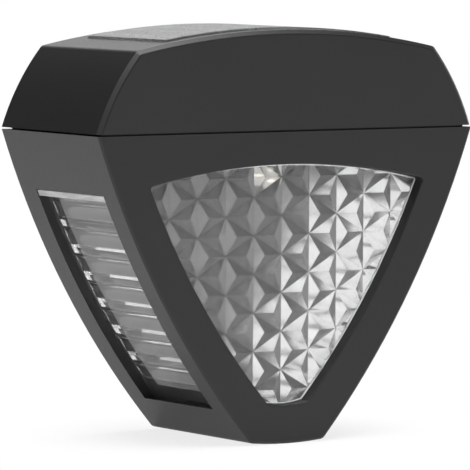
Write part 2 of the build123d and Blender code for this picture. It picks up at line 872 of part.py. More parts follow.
def battery_wire(contact_x, side):
    """Wire from the top of a battery contact over to the circuit board."""
    contact_top = tray_deck + contact_height
    pad = (side * battery_pad_x, -circuit_front + circuit_width - battery_pad_inset)
    return wire(
        [
            (contact_x, -battery_from_wall, contact_top),
            (contact_x, -battery_from_wall, contact_top + battery_wire_rise),
            (*pad, contact_top + battery_wire_rise),
            (*pad, circuit_top),
        ]
    )


with BuildPart() as red_leads:
    add(panel_wire(1))
    add(battery_wire(plus_end + contact_thickness / 2, 1))

with BuildPart() as black_leads:
    add(panel_wire(-1))
    add(battery_wire(minus_end - contact_thickness / 2, -1))

pieces = {
    "lamp_housing": lamp_housing,
    "front_lens": front_lens,
    "left_lens": left_lens,
    "right_lens": right_lens,
    "back_cover": back_cover,
    "back_screws": back_screws,
    "cap_shell": cap_shell,
    "panel_bed": panel_bed,
    "panel_board": panel_board,
    "solar_cells": solar_cells,
    "panel_cover": panel_cover,
    "cap_tray": cap_tray,
    "tray_screws": tray_screws,
    "circuit_board": circuit_board,
    "board_screws": board_screws,
    "driver_chip": driver_chip,
    "inductor": inductor,
    "led_lamp": led_lamp,
    "led_leads": led_leads,
    "switch_case": switch_case,
    "switch_slider": switch_slider,
    "battery_cell": battery_cell,
    "contact_plate": contact_plate,
    "contact_leaf": contact_leaf,
    "red_leads": red_leads,
    "black_leads": black_leads,
}
os.makedirs("parts", exist_ok=True)
for label, piece in pieces.items():
    piece.part.label = label
    export_step(piece.part, f"parts/{label}.step")
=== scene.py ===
"""Solar wall light: finishes, fine pieces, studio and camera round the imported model.

Metres, in the model's own frame: +X right, +Y into the wall, +Z up, with the origin at the
centre of the keyhole's entry on the wall face.
"""

import math

import bmesh
import bpy
import numpy as np
from mathutils import Matrix, Vector


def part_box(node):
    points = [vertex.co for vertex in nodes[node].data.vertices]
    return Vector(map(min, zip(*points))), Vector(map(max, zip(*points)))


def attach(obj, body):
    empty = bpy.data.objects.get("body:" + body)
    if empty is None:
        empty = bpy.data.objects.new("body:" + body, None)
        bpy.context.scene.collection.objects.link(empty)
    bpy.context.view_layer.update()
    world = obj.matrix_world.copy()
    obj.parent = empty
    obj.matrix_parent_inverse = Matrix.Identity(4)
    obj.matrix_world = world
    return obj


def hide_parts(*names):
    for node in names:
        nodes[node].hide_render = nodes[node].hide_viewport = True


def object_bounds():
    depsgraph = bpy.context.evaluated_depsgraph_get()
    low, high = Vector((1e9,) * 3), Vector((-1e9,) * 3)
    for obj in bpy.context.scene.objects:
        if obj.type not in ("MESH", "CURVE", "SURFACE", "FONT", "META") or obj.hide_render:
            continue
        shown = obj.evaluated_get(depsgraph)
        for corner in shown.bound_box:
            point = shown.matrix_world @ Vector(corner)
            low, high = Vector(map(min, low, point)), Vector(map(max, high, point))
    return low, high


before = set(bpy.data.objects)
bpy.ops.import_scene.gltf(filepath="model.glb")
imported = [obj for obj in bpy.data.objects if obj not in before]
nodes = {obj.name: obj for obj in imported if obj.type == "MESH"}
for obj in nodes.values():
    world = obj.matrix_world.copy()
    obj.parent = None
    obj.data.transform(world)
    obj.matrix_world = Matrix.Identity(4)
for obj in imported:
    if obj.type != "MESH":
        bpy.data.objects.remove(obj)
cad_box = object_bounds()

bl_info = {
    "name": "Solar wall light",
    "version": (1, 0, 0),
    "blender": (4, 5, 0),
    "location": "View3D > Sidebar > Wall light",
    "description": "Dresses the solar wall light and sets up its studio",
    "category": "Object",
}

MILLIMETRE = 0.001
# Face attribute holding each star facet's painted shade
PAINTED_FACET_SHADE = "painted_facet_shade"
WHITE = (1.0, 1.0, 1.0, 1.0)
PALE = (0.97, 0.97, 0.97, 1.0)
SENSOR_WIDTH = 36.0

# Refractive indices
PLASTIC_INDEX = 1.5
STAR_LENS_INDEX = 1.58
SILICON_INDEX = 2.2

# Values between which a noise mostly stays
NOISE_LOW = 0.3
NOISE_HIGH = 0.7

# Factors between which the roughness of a clear finish varies
GLOSSIER = 0.8
DULLER = 1.2

# Metal finishes: colour, mean roughness and grain in millimetres
METALS = {
    "tinned_wire": ((0.8, 0.8, 0.79), 0.25, 0.2),
    "gold_wire": ((0.85, 0.6, 0.25), 0.2, 0.1),
    "tinned_ribbon": ((0.72, 0.72, 0.72), 0.35, 0.4),
    "switch_case_tin": ((0.66, 0.66, 0.65), 0.3, 0.5),
    "zinc_plated_steel": ((0.42, 0.43, 0.45), 0.38, 0.4),
    "nickel_plate": ((0.68, 0.66, 0.6), 0.28, 0.4),
}

# Clear finishes: colour, milky share and mean roughness
CLEAR_PLASTICS = {
    # Grey tint on the star lens's rounded edges: painted shade for the dark lines along them
    "star_lens_edges_painted_shade": ((0.5, 0.5, 0.5), 0.05, 0.1),
    "diode_resin_painted_glow": ((0.98, 0.975, 0.96), 0.5, 0.05),
    "panel_resin": ((0.93, 0.95, 0.96), 0.06, 0.32),
}

# Painted glow of the unlit diode, standing in for its highlights
RESIN_PAINTED_GLOW = (1.0, 0.97, 0.9)
PHOSPHOR_PAINTED_GLOW = (1.0, 0.93, 0.8)

# Moulded pieces of the solar panel: finish, colour, mean roughness and grain in millimetres
PANEL_MOULDINGS = {
    "panel_board": ("panel_board_black", (0.012, 0.013, 0.018), 0.5, 0.3),
    "panel_bed": ("foam_tape_white", (0.7, 0.7, 0.68), 0.9, 0.5),
}

# Moulded pieces of the electronics: finish, colour, mean roughness and grain in millimetres
ELECTRIC_MOULDINGS = {
    "inductor": ("green_inductor", (0.05, 0.25, 0.12), 0.4, 0.4),
    "driver_chip": ("chip_epoxy", (0.02, 0.02, 0.021), 0.5, 0.15),
    "switch_slider": ("switch_knob_nylon", (0.03, 0.03, 0.03), 0.3, 0.3),
    "red_leads": ("red_wire_sleeve", (0.5, 0.02, 0.015), 0.35, 0.4),
    "black_leads": ("black_wire_sleeve", (0.015, 0.015, 0.015), 0.35, 0.4),
}

# Softboxes: place, width and height in metres, and radiance of the face
SOFTBOXES = {
    "top_softbox": ((0.0, -0.2, 1.3), 1.2, 1.2, 6.0),
    "left_softbox": ((-0.92, -0.75, 0.90), 1.0, 1.0, 0.9),
    "back_softbox": ((0.72, 1.23, 0.67), 1.0, 0.45, 1.1),
}

# Backdrop: axis of the direction, from where to where along it, and the levels there
BACKDROP = (
    ("Z", 0.2, 0.75, 0.8, 0.048),
    ("X", -0.25, 0.35, 0.1, 1.0),
    ("Y", -0.3, 0.3, 0.25, 1.0),
)


def size_property(name, description, millimetres):
    """Length that the sidebar shows with its unit."""
    return bpy.props.FloatProperty(
        name=name,
        description=description,
        subtype="DISTANCE",
        unit="LENGTH",
        default=millimetres * MILLIMETRE,
    )


def share_property(name, description, default):
    """Number from 0 to 1 that the sidebar shows as a slider."""
    return bpy.props.FloatProperty(
        name=name,
        description=description,
        subtype="FACTOR",
        min=0.0,
        max=1.0,
        default=default,
    )


def colour_property(name, description, default):
    """Colour that the sidebar shows as a swatch."""
    return bpy.props.FloatVectorProperty(
        name=name,
        description=description,
        subtype="COLOR",
        min=0.0,
        max=1.0,
        default=default,
    )


class WallLightFinishes(bpy.types.PropertyGroup):
    """Colours and surface qualities of the light's materials."""

    plastic_colour: colour_property(
        "Plastic colour",
        "Moulded black plastic",
        (0.0145, 0.0145, 0.015),
    )
    plastic_roughness: share_property(
        "Plastic roughness",
        "Mean roughness of the moulded plastic",
        0.4,
    )
    plastic_grain: size_property("Plastic grain", "Width of one grain of the mould's texture", 0.35)
    lens_colour: colour_property(
        "Lens colour",
        "Light passing through the lenses",
        (0.98, 0.985, 0.985),
    )
    star_roughness: share_property("Star lens roughness", "Mean roughness of the star lens", 0.16)
    star_haze: share_property("Star lens haze", "Milky share of the star lens's haziest facets", 0.215)
    star_edge: size_property("Star lens edges", "Width of the rounding on the star lens's edges", 0.14)
    pad_inset: size_property("Pad inset", "From the star lens's outer edge in to its faceted pad", 1.95)
    rim_foot: size_property("Rim foot", "From the star lens's back out to the foot of its rim", 1.9)
    rim_height: size_property("Rim height", "Height of the rim round the star lens", 0.85)
    rim_width: size_property("Rim width", "Width of the rim round the star lens", 0.35)
    # The rim's milky share paints its glint
    rim_haze: share_property("Rim haze", "Milky share of the rim round the star lens", 0.9)
    rib_haze: share_property("Side lens haze", "Milky share of the side lenses", 0.04)
    # The frost along the bars paints their highlight
    frost_highlight_haze: share_property("Frost haze", "Milky share of the side lenses' frosted bars", 0.55)
    frost_top: size_property("Frosted bar", "From a side lens's top to its bar's foot", 3.45)
    silicon_colour: colour_property(
        "Silicon colour",
        "Mean colour of the solar cells",
        (0.008, 0.012, 0.032),
    )
    phosphor_colour: colour_property(
        "Phosphor colour",
        "The diode's phosphor when dark",
        (0.9, 0.78, 0.42),
    )


class WallLightDiode(bpy.types.PropertyGroup):
    """Sizes of what shows inside the diode's clear resin."""

    plate_thickness: size_property("Plate thickness", "Thickness of the anvil and the post", 0.5)
    cup_height: size_property("Cup height", "From the diode's tip up to the mouth of its cup", 3.0)
    cup_radius: size_property("Cup radius", "Outer radius of the reflecting cup's mouth", 1.0)
    cup_depth: size_property("Cup depth", "Depth of the reflecting cup", 0.55)
    cup_wall: size_property("Cup wall", "Thickness of the reflecting cup's wall", 0.12)
    phosphor_rise: size_property("Phosphor rise", "How far the phosphor bulges from the cup", 0.35)
    lead_spread: size_property("Lead spread", "From the diode's axis to each lead", 1.27)
    wire_radius: size_property("Bond wire radius", "Radius of the fine wire to the post", 0.05)
    wire_bow: size_property("Bond wire bow", "How far the fine wire bows from a straight line", 0.7)
    edge_ease: size_property("Plate edges", "Width of the rounding on the anvil and the post", 0.06)
    # Strength of the phosphor's painted glow, which stands in for the unlit diode's highlights
    glow: bpy.props.FloatProperty(
        name="Glow",
        description="Strength of the phosphor's own light",
        default=3.0,
    )
    # Strength of the resin's painted glow
    resin_painted_glow: share_property("Resin glow", "Strength of the light that the milky resin spreads", 0.12)


class WallLightPanel(bpy.types.PropertyGroup):
    """Sizes of the conductors on the solar cells."""

    cells: bpy.props.IntProperty(name="Cells", description="Strips of silicon side by side", default=4)
    cell_gap: size_property("Cell gap", "Gap between two cells", 0.7)
    ribbon_width: size_property("Ribbon width", "Width of the tinned ribbons", 1.1)
    ribbon_thickness: size_property("Ribbon thickness", "Thickness of the tinned ribbons", 0.12)
    finger_pitch: size_property("Finger pitch", "From one printed silver line to the next", 1.8)
    finger_width: size_property("Finger width", "Width of a printed silver line", 0.1)


class WallLightStudio(bpy.types.PropertyGroup):
    """Camera and light of the studio."""

    camera_place: bpy.props.FloatVectorProperty(
        name="Camera place",
        description="Where the camera stands",
        subtype="TRANSLATION",
        unit="LENGTH",
        default=(-0.7091, -1.06858, 0.08511),
    )
    camera_yaw: bpy.props.FloatProperty(
        name="Camera yaw",
        description="How far the camera's look turns from straight at the wall to the right",
        subtype="ANGLE",
        default=math.radians(34.114),
    )
    camera_pitch: bpy.props.FloatProperty(
        name="Camera pitch",
        description="How far the camera looks down",
        subtype="ANGLE",
        default=math.radians(4.113),
    )
    camera_roll: bpy.props.FloatProperty(
        name="Camera roll",
        description="How far the camera leans to its left",
        subtype="ANGLE",
        default=math.radians(0.359),
    )
    camera_lens: bpy.props.FloatProperty(
        name="Focal length",
        description="Focal length in millimetres on a sensor 36 mm wide",
        default=367.46,
    )
    floor_size: bpy.props.FloatProperty(
        name="Floor size",
        description="Length of the floor's side",
        subtype="DISTANCE",
        unit="LENGTH",
        default=40.0,
    )
    floor_glow: share_property(
        "Floor glow",
        "Share of the floor's white at the lamp's foot that takes no shadow",
        0.8,
    )
    shadow_core: size_property("Shadow core", "From the foot's middle to where its shadow fades", 20.0)
    shadow_reach: size_property("Shadow reach", "From the foot's middle to the end of its shadow", 65.0)
    floor_mirror: share_property(
        "Mirrored floor glow",
        "The same share round the lamp, as the lamp's surfaces see it",
        0.5,
    )
    mirror_near: bpy.props.FloatProperty(
        name="Mirrored glow starts",
        description="From the foot's middle to where the mirrored floor gets whiter",
        subtype="DISTANCE",
        unit="LENGTH",
        default=0.2,
    )
    mirror_far: bpy.props.FloatProperty(
        name="Mirrored glow ends",
        description="From the foot's middle to where the mirrored floor is all white",
        subtype="DISTANCE",
        unit="LENGTH",
        default=0.9,
    )


def add_node(tree, kind, inputs=None, **settings):
    """Adds a node, with its settings and the values of its named inputs."""
    node = tree.nodes.new(kind)
    for name, value in settings.items():
        setattr(node, name, value)
    for name, value in (inputs or {}).items():
        node.inputs[name].default_value = value
    return node


def new_finish(name, inputs):
    """New material: its tree, its shader with the given values, and the Object coordinates."""
    material = bpy.data.materials.new(name)
    material.use_nodes = True
    tree = material.node_tree
    shader = tree.nodes["Principled BSDF"]
    for socket, value in inputs.items():
        shader.inputs[socket].default_value = value
    place = add_node(tree, "ShaderNodeTexCoord").outputs["Object"]
    return material, tree, shader, place


def noise_on(tree, place, cell, detail=2.0):
    """Noise whose lumps are about one cell wide."""
    noise = add_node(tree, "ShaderNodeTexNoise", {"Scale": 1.0 / cell, "Detail": detail})
    tree.links.new(place, noise.inputs["Vector"])
    return noise.outputs["Fac"]


def spread(tree, source, start, end, low, high, smooth=False):
    """Value that runs from low to high as the source goes from start to end."""
    fade = add_node(
        tree,
        "ShaderNodeMapRange",
        {"From Min": start, "From Max": end, "To Min": low, "To Max": high},
        interpolation_type="SMOOTHSTEP" if smooth else "LINEAR",
    )
    tree.links.new(source, fade.inputs["Value"])
    return fade.outputs["Result"]


def vary_value(tree, source, target, low, high):
    """Runs a socket between two values as a noise goes from its usual low to its usual high."""
    tree.links.new(spread(tree, source, NOISE_LOW, NOISE_HIGH, low, high), target)


def vary_colour(tree, source, target, low, high):
    """Runs a colour socket between two colours as a noise goes from low to high."""
    ramp = add_node(tree, "ShaderNodeValToRGB")
    stops = ((NOISE_LOW, low), (NOISE_HIGH, high))
    for element, (position, colour) in zip(ramp.color_ramp.elements, stops):
        element.position = position
        element.color = (*colour, 1.0)
    tree.links.new(source, ramp.inputs["Fac"])
    tree.links.new(ramp.outputs["Color"], target)


def add_bump(tree, shader, source, height):
    """Raises the surface by height where the source is 1."""
    bump = add_node(tree, "ShaderNodeBump", {"Strength": 1.0, "Distance": height})
    tree.links.new(source, bump.inputs["Height"])
    tree.links.new(bump.outputs["Normal"], shader.inputs["Normal"])


def arithmetic(tree, operation, first, second):
    """Result of a sum, product or the like of two sockets or numbers."""
    node = add_node(tree, "ShaderNodeMath", operation=operation)
    for value, socket in zip((first, second), node.inputs):
        if isinstance(value, (int, float)):
            socket.default_value = value
        else:
            tree.links.new(value, socket)
    return node.outputs[0]


def along(tree, place, axis):
    """One coordinate of a place."""
    split = add_node(tree, "ShaderNodeSeparateXYZ")
    tree.links.new(place, split.inputs["Vector"])
    return split.outputs[axis]


def scaled(colour, factor):
    """A colour made lighter or darker."""
    return tuple(min(1.0, channel * factor) for channel in colour[:3])


def moulded_plastic(name, colour, roughness, grain):
    """Moulded plastic with a fine spark-eroded grain and faint flow marks."""
    material, tree, shader, place = new_finish(name, {"IOR": PLASTIC_INDEX})
    flow_width = 30 * MILLIMETRE
    gloss_change = 0.05
    grain_height = grain / 30
    flow = noise_on(tree, place, flow_width, detail=3.0)
    dark, light = scaled(colour, 0.92), scaled(colour, 1.08)
    vary_colour(tree, flow, shader.inputs["Base Color"], dark, light)
    specks = noise_on(tree, place, grain)
    low, high = roughness - gloss_change, roughness + gloss_change
    vary_value(tree, specks, shader.inputs["Roughness"], low, high)
    add_bump(tree, shader, specks, grain_height)
    return material


def vary_gloss(tree, shader, place, roughness):
    """Lets the roughness of a clear moulding differ a little from spot to spot."""
    spot_width = 2 * MILLIMETRE
    low, high = roughness * GLOSSIER, roughness * DULLER
    spots = noise_on(tree, place, spot_width)
    vary_value(tree, spots, shader.inputs["Roughness"], low, high)


def clear_plastic(name, colour, haze, roughness):
    """Clear moulded plastic whose gloss varies a little; its milky share scatters light."""
    material, tree, shader, place = new_finish(
        name,
        {"Base Color": (*colour, 1.0), "Transmission Weight": 1.0 - haze, "IOR": PLASTIC_INDEX},
    )
    vary_gloss(tree, shader, place, roughness)
    return material


def shaded_facet_plastic(name, colour, haze, roughness):
    """Clear moulded plastic whose milky share differs from facet to facet: a painted shade that makes
    some facets lighter than others.
    """
    material, tree, shader, place = new_finish(
        name,
        {"Base Color": (*colour, 1.0), "IOR": STAR_LENS_INDEX},
    )
    least_haze = haze / 8
    # Painted shade of each facet: milkier facets look lighter
    painted_shade = add_node(tree, "ShaderNodeAttribute", attribute_name=PAINTED_FACET_SHADE).outputs["Fac"]
    clearness = spread(tree, painted_shade, 0.0, 1.0, 1.0 - least_haze, 1.0 - haze)
    tree.links.new(clearness, shader.inputs["Transmission Weight"])
    vary_gloss(tree, shader, place, roughness)
    return material


def frost_highlighted_plastic(name, colour, haze, frost_highlight_haze, frost_foot):
    """Clear moulded plastic that is frosted in streaks above a height: the milky frost paints the
    highlight of its top bar."""
    material, tree, shader, place = new_finish(
        name,
        {"Base Color": (*colour, 1.0), "IOR": PLASTIC_INDEX},
    )
    soft_edge = 0.1 * MILLIMETRE
    streak_width = 1.6 * MILLIMETRE
    streak_squeeze = (1.0, 0.2, 1.0)
    streak_low, streak_high = 0.35, 0.65
    least_frost = frost_highlight_haze / 4
    clear_roughness, frost_roughness = 0.02, 0.45
    speck_width = 1.5 * MILLIMETRE
    height = along(tree, place, "Z")
    low, high = frost_foot - soft_edge, frost_foot + soft_edge
    squeezed = add_node(tree, "ShaderNodeMapping", {"Scale": streak_squeeze})
    tree.links.new(place, squeezed.inputs["Vector"])
    streaks = noise_on(tree, squeezed.outputs["Vector"], streak_width)
    # Milky streaks: painted highlight along the top bar
    highlight_frost = spread(tree, streaks, streak_low, streak_high, least_frost, frost_highlight_haze)
    frosted_highlight = arithmetic(tree, "MULTIPLY", highlight_frost, spread(tree, height, low, high, 0.0, 1.0))
    milky = arithmetic(tree, "MAXIMUM", haze, frosted_highlight)
    clearness = arithmetic(tree, "SUBTRACT", 1.0, milky)
    tree.links.new(clearness, shader.inputs["Transmission Weight"])
    dull = spread(tree, height, low, high, clear_roughness, frost_roughness)
    specks = noise_on(tree, place, speck_width)
    change = spread(tree, specks, NOISE_LOW, NOISE_HIGH, GLOSSIER, DULLER)
    tree.links.new(arithmetic(tree, "MULTIPLY", dull, change), shader.inputs["Roughness"])
    return material


def bare_metal(name):
    """Bare metal of a listed kind, with fine specks of light and dark."""
    colour, roughness, grain = METALS[name]
    material, tree, shader, place = new_finish(name, {"Metallic": 1.0})
    gloss_change = 0.06
    grain_height = grain * MILLIMETRE / 40
    specks = noise_on(tree, place, grain * MILLIMETRE, detail=3.0)
    dark, light = scaled(colour, 0.9), scaled(colour, 1.05)
    vary_colour(tree, specks, shader.inputs["Base Color"], dark, light)
    low, high = roughness - gloss_change, roughness + gloss_change
    vary_value(tree, specks, shader.inputs["Roughness"], low, high)
    add_bump(tree, shader, specks, grain_height)
    return material


def silicon(name, colour, pitch, width):
    """Solar silicon: crystals of slightly different blue under fine printed silver lines."""
    material, tree, shader, place = new_finish(name, {"Roughness": 0.25, "IOR": SILICON_INDEX})
    crystal_width = 3 * MILLIMETRE
    line_colour = (0.5, 0.51, 0.53, 1.0)
    dark, light = scaled(colour, 0.6), scaled(colour, 1.5)
    crystals = add_node(tree, "ShaderNodeTexVoronoi", {"Scale": 1.0 / crystal_width})
    tree.links.new(place, crystals.inputs["Vector"])
    tint = add_node(tree, "ShaderNodeSeparateColor")
    tree.links.new(crystals.outputs["Color"], tint.inputs["Color"])
    lines = add_node(tree, "ShaderNodeMix", data_type="RGBA")
    lines.inputs["B"].default_value = line_colour
    vary_colour(tree, tint.outputs["Red"], lines.inputs["A"], dark, light)
    steps = arithmetic(tree, "PINGPONG", along(tree, place, "Y"), pitch / 2)
    tree.links.new(arithmetic(tree, "LESS_THAN", steps, width / 2), lines.inputs["Factor"])
    tree.links.new(lines.outputs["Result"], shader.inputs["Base Color"])
    return material


def circuit_lacquer(name, colour, trace_width):
    """Green lacquer over copper: traces show as lighter bands along the board."""
    material, tree, shader, place = new_finish(name, {"Roughness": 0.3, "IOR": PLASTIC_INDEX})
    trace_pitch = 6 * trace_width
    trace_height = 0.03 * MILLIMETRE
    trace_colour = scaled(colour, 2.2)
    edge_start, edge_end = 0.08, 0.12
    traces = add_node(
        tree,
        "ShaderNodeTexVoronoi",
        {"Scale": 1.0 / trace_pitch},
        distance="MANHATTAN",
        feature="DISTANCE_TO_EDGE",
    )
    tree.links.new(place, traces.inputs["Vector"])
    distance = traces.outputs["Distance"]
    mask = spread(tree, distance, edge_start, edge_end, NOISE_HIGH, NOISE_LOW)
    vary_colour(tree, mask, shader.inputs["Base Color"], colour, trace_colour)
    add_bump(tree, shader, mask, trace_height)
    return material


def cell_sleeve(name, colour, sleeve_end):
    """Shrink sleeve of a battery cell, with bare metal past the sleeve's end."""
    material, tree, shader, place = new_finish(name, {"IOR": PLASTIC_INDEX})
    soft_edge = 0.05 * MILLIMETRE
    metal_colour = (0.7, 0.69, 0.66)
    crease_width = 2 * MILLIMETRE
    crease_height = 0.03 * MILLIMETRE
    least_roughness, most_roughness = 0.22, 0.34
    bare = spread(tree, along(tree, place, "X"), sleeve_end, sleeve_end + soft_edge, 0.0, 1.0)
    tree.links.new(bare, shader.inputs["Metallic"])
    vary_colour(tree, bare, shader.inputs["Base Color"], colour, metal_colour)
    creases = noise_on(tree, place, crease_width)
    vary_value(tree, creases, shader.inputs["Roughness"], least_roughness, most_roughness)
    add_bump(tree, shader, creases, crease_height)
    return material


def dress(names, material):
    """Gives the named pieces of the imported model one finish."""
    for name in names:
        slots = nodes[name].data.materials
        slots.clear()
        slots.append(material)


def dress_mouldings(listed):
    """Gives each listed piece its own moulded finish."""
    for piece, (name, colour, roughness, grain) in listed.items():
        dress([piece], moulded_plastic(name, colour, roughness, grain * MILLIMETRE))


def new_piece(mesh, material, body):
    """Puts a mesh into the scene as a finished piece that moves with a body."""
    mesh.materials.append(material)
    piece = bpy.data.objects.new(mesh.name, mesh)
    bpy.context.scene.collection.objects.link(piece)
    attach(piece, body)
    return piece


def lofted(name, rings, smooth=True, looped=False):
    """Skin over a stack of closed rings, an array of rings, points and coordinates: each quad
    joins two neighbouring points of one ring to the same two of the next. A looped stack goes
    back to its first ring, and any other gets a flat face at each end."""
    count, around, _ = rings.shape
    step = np.arange(count if looped else count - 1)[:, None]
    here, ahead = step * around, (step + 1) % count * around
    point = np.arange(around)
    beside = (point + 1) % around
    quads = np.stack((here + point, here + beside, ahead + beside, ahead + point), axis=-1)
    faces = quads.reshape(-1, 4).tolist()
    if not looped:
        faces += [point[::-1].tolist(), (point + (count - 1) * around).tolist()]
    mesh = bpy.data.meshes.new(name)
    mesh.from_pydata(rings.reshape(-1, 3), [], faces)
    shell = bmesh.new()
    shell.from_mesh(mesh)
    bmesh.ops.recalc_face_normals(shell, faces=shell.faces)
    shell.to_mesh(mesh)
    shell.free()
    corners = np.empty(len(mesh.polygons), dtype=np.int32)
    mesh.polygons.foreach_get("loop_total", corners)
    mesh.polygons.foreach_set("use_smooth", (corners == 4) & smooth)
    return mesh


def turned(name, axis_x, axis_y, radii, heights, sides=32):
    """Surface of revolution about an upright axis: at each step of the profile, a ring of points
    at the step's radius times cosine and sine of the angle, at the step's height."""
    angle = np.linspace(0.0, 2 * np.pi, sides, endpoint=False)
    radii = np.asarray(radii)[:, None]
    heights = np.asarray(heights)[:, None]
    x = axis_x + radii * np.cos(angle)
    y = axis_y + radii * np.sin(angle)
    z = heights + np.zeros(sides)
    return lofted(name, np.stack((x, y, z), axis=-1))


def plate(name, outline, middle_y, thickness):
    """Flat plate: an outline of X and Z points carried along Y through the thickness."""
    outline = np.asarray(outline)
    depths = middle_y + np.array([-0.5, 0.5])[:, None] * thickness
    x = np.broadcast_to(outline[:, 0], (2, len(outline)))
    z = np.broadcast_to(outline[:, 1], (2, len(outline)))
    return lofted(name, np.stack((x, depths + np.zeros(len(outline)), z), axis=-1), smooth=False)


def bowed_wire(name, start, end, rise, radius, steps=16, sides=10):
    """Wire bowed in an upright plane: points go straight from start to end and drop below by
    rise times sine of the way along, with a circle round each in the plane's two normals."""
    start, end = np.asarray(start), np.asarray(end)
    way = np.linspace(0.0, 1.0, steps)[:, None]
    down = np.array([0.0, 0.0, -1.0])
    line = start + (end - start) * way + down * rise * np.sin(np.pi * way)
    tangent = np.gradient(line, axis=0)
    tangent /= np.linalg.norm(tangent, axis=1, keepdims=True)
    across = np.cross(tangent, down)
    across /= np.linalg.norm(across, axis=1, keepdims=True)
    upright = np.cross(across, tangent)
    angle = np.linspace(0.0, 2 * np.pi, sides, endpoint=False)[:, None]
    circle = across[:, None] * np.cos(angle) + upright[:, None] * np.sin(angle)
    return lofted(name, line[:, None] + radius * circle)


def ribbons(name, boxes, crown):
    """Flat ribbons with a crowned top: each box is skinned from a low ring, a ring at its
    shoulder and a top ring drawn in by the crown, and all share one mesh."""
    signs = np.array([(-1, -1), (1, -1), (1, 1), (-1, 1)]) / 2
    shoulder = 0.6
    whole = bmesh.new()
    for middle_x, middle_y, foot, width, length, thickness in boxes:
        rings = []
        for share, inset in ((0.0, 0.0), (shoulder, 0.0), (1.0, crown)):
            x = middle_x + signs[:, 0] * (width - 2 * inset)
            y = middle_y + signs[:, 1] * (length - 2 * inset)
            rings.append(np.stack((x, y, np.full(4, foot + share * thickness)), axis=-1))
        strip = lofted(name + "_strip", np.array(rings), smooth=False)
        whole.from_mesh(strip)
        bpy.data.meshes.remove(strip)
    mesh = bpy.data.meshes.new(name)
    whole.to_mesh(mesh)
    whole.free()
    return mesh


def back_outline(node):
    """Outline of a lens's flat back as X and Z, in order of the angle round its middle."""
    spots = np.empty(len(nodes[node].data.vertices) * 3)
    nodes[node].data.vertices.foreach_get("co", spots)
    spots = spots.reshape(-1, 3)
    flat_within = 0.01 * MILLIMETRE
    at_back = spots[:, 1] > spots[:, 1].max() - flat_within
    outline = np.unique(np.round(spots[at_back][:, [0, 2]], 6), axis=0)
    x, z = (outline - outline.mean(axis=0)).T
    return outline[np.argsort(np.arctan2(z, x))]


def rim(name, outline, profile):
    """Strip carried round a closed outline of X and Z: each point of the profile lies inside the
    outline by its first number, square to the line between the neighbours, at the depth Y of its
    second."""
    along_line = np.roll(outline, -1, axis=0) - np.roll(outline, 1, axis=0)
    along_line /= np.linalg.norm(along_line, axis=1, keepdims=True)
    inward = np.stack((-along_line[:, 1], along_line[:, 0]), axis=-1)
    inset, depth = np.asarray(profile).T
    x, z = (outline[:, None] + inward[:, None] * inset[:, None]).transpose(2, 0, 1)
    return lofted(name, np.stack((x, depth + np.zeros_like(x), z), axis=-1), looped=True)


def ease_edges(piece, width, angle):
    """Rounds a piece's edges that turn by more than an angle."""
    bevel = piece.modifiers.new("eased_edges", "BEVEL")
    bevel.width = width
    bevel.segments = 2
    bevel.limit_method = "ANGLE"
    bevel.angle_limit = angle
    return bevel


def merged_copy(node, name):
    """Copy of a node's mesh with its triangles joined up and merged into flat faces."""
    weld = 0.002 * MILLIMETRE
    flat_within = math.radians(0.5)
    shell = bmesh.new()
    shell.from_mesh(nodes[node].data)
    bmesh.ops.remove_doubles(shell, verts=shell.verts, dist=weld)
    bmesh.ops.dissolve_limit(
        shell,
        angle_limit=flat_within,
        verts=shell.verts,
        edges=shell.edges,
    )
    mesh = bpy.data.meshes.new(name)
    shell.to_mesh(mesh)
    shell.free()
    mesh.polygons.foreach_set("use_smooth", np.zeros(len(mesh.polygons), dtype=bool))
    return mesh


def paint_facet_shade(mesh):
    """Gives each facet of the star lens a painted shade from 0 to 1 by the way it leans, which
    makes it milkier and so lighter: with the angle of its lean, mostly the cosine squared, less a
    little of the cosine, plus a little of the sine and a chance part."""
    normals = np.empty(len(mesh.polygons) * 3)
    mesh.polygons.foreach_get("normal", normals)
    x, y, z = normals.reshape(-1, 3).T
    least_lean = 0.1
    forward = -0.5
    chance_part, seed = 0.08, 7
    base, by_square, by_cosine, by_sine = 0.06, 0.82, -0.12, 0.08
    lean = np.hypot(x, z)
    faceted = (y < forward) & (lean > least_lean)
    cosine = x / np.maximum(lean, least_lean)
    sine = z / np.maximum(lean, least_lean)
    chance = np.random.default_rng(seed).uniform(-chance_part, chance_part, len(x))
    by_lean = base + by_square * cosine**2 + by_cosine * cosine + by_sine * sine
    painted_shade = np.where(faceted, by_lean + chance, 0.0)
    layer = mesh.attributes.new(PAINTED_FACET_SHADE, "FLOAT", "FACE")
    layer.data.foreach_set("value", np.clip(painted_shade, 0.0, 1.0))


class WALLLIGHT_OT_mouldings(bpy.types.Operator):
    """Finishes the black mouldings: body, cap, back cover and tray"""

    bl_idname = "wall_light.mouldings"
    bl_label = "Mouldings"

    def execute(self, context):
        finish = context.scene.wall_light_finishes
        black = moulded_plastic(
            "black_moulded_plastic",
            finish.plastic_colour,
            finish.plastic_roughness,
            finish.plastic_grain,
        )
        dress(["lamp_housing", "cap_shell", "back_cover", "cap_tray"], black)
        return {"FINISHED"}


